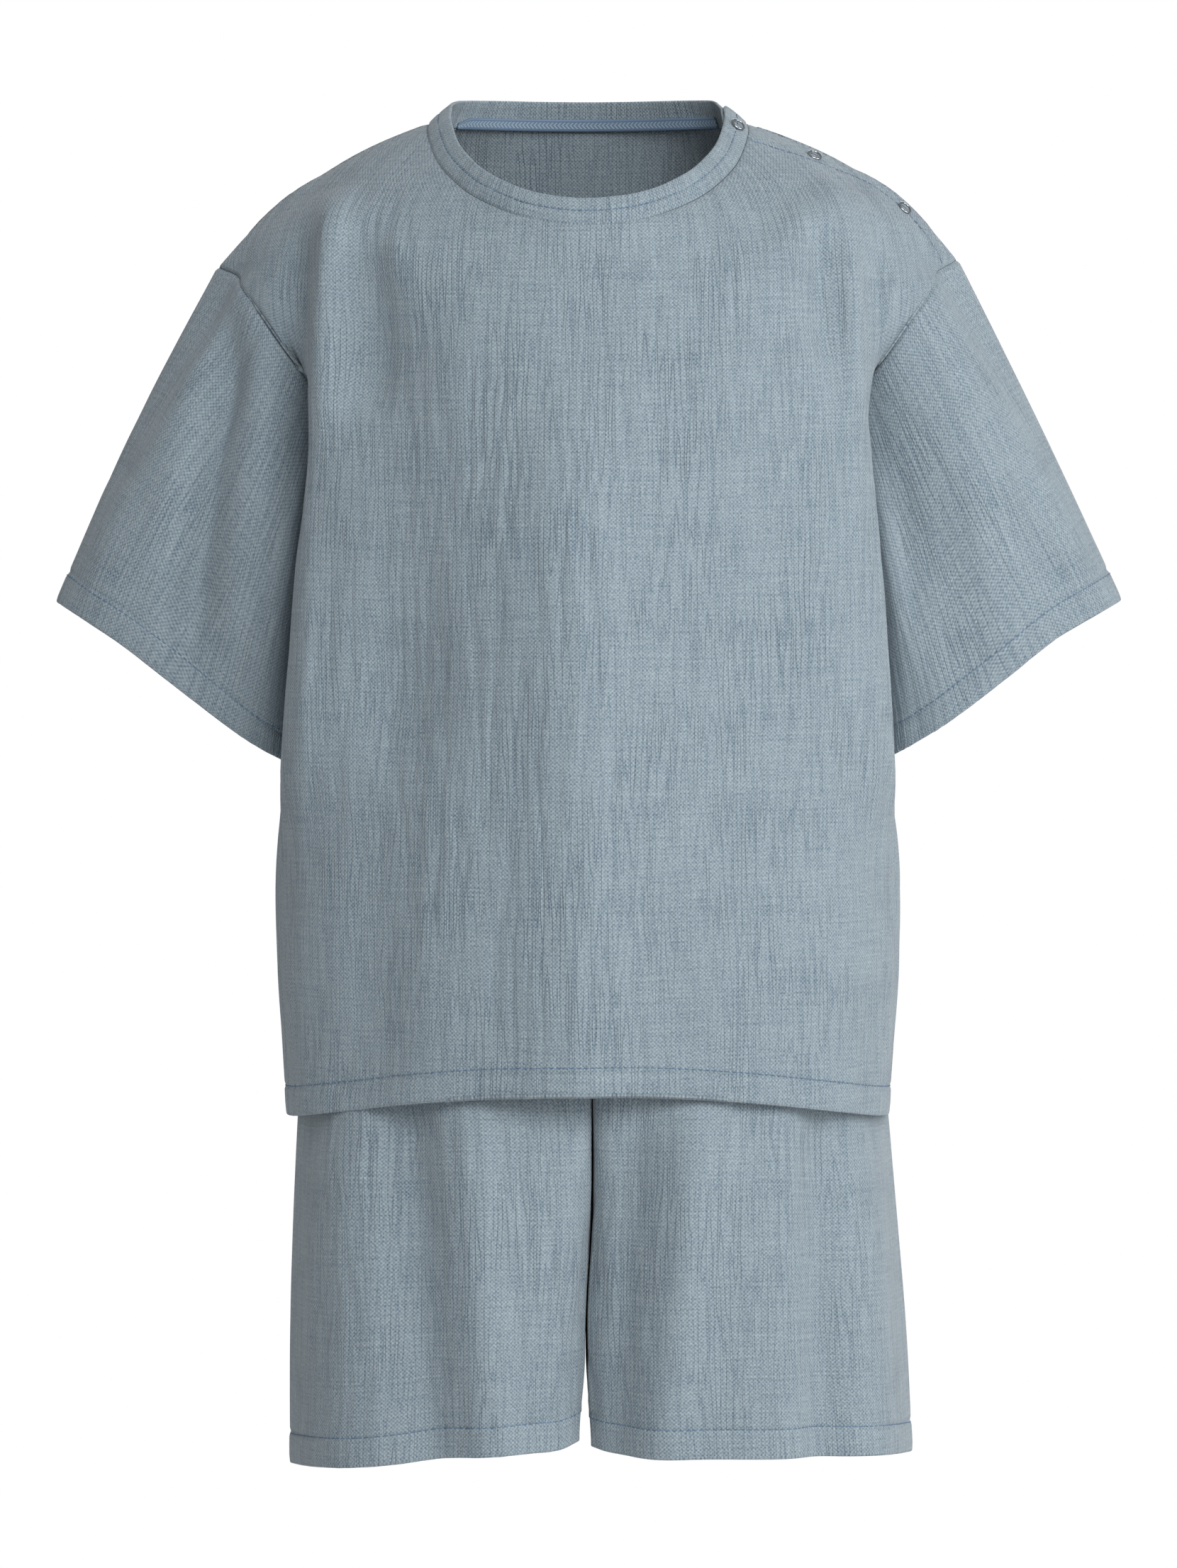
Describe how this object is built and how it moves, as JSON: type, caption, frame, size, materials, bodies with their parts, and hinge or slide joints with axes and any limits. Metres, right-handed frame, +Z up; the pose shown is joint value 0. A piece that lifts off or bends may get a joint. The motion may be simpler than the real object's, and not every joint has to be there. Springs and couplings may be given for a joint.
{
  "type": "short pyjama set",
  "caption": "Boxy short-sleeved pyjama top with a shoulder snap opening over wide pull-on shorts, in muslin chambray, filled out as worn.",
  "frame": {"origin": "between the wearer's shoulders, level with the neck points, on the middle plane", "axes": "+Z up, the front faces -Y, +X to the wearer's left"},
  "size_m": [0.428, 0.1828, 0.5471],
  "materials": {
    "muslin": "matt crinkled double gauze chambray, grey blue",
    "neck_tape": "woven herringbone tape",
    "snap_metal": "bright plated ring"
  },
  "bodies": {
    "root": {"top_front": "muslin", "top_back": "muslin", "top_sleeve_left": "muslin", "top_sleeve_right": "muslin", "top_neckband": "muslin", "shoulder_underlap": "muslin", "shorts_front_left": "muslin", "shorts_front_right": "muslin", "shorts_back_left": "muslin", "shorts_back_right": "muslin", "shorts_waistband": "muslin", "top_neck_tape": "neck_tape", "snap_1_ring": "snap_metal", "snap_1_back": "snap_metal", "snap_2_ring": "snap_metal", "snap_2_back": "snap_metal", "snap_3_ring": "snap_metal", "snap_3_back": "snap_metal"}
  },
  "joints": []
}
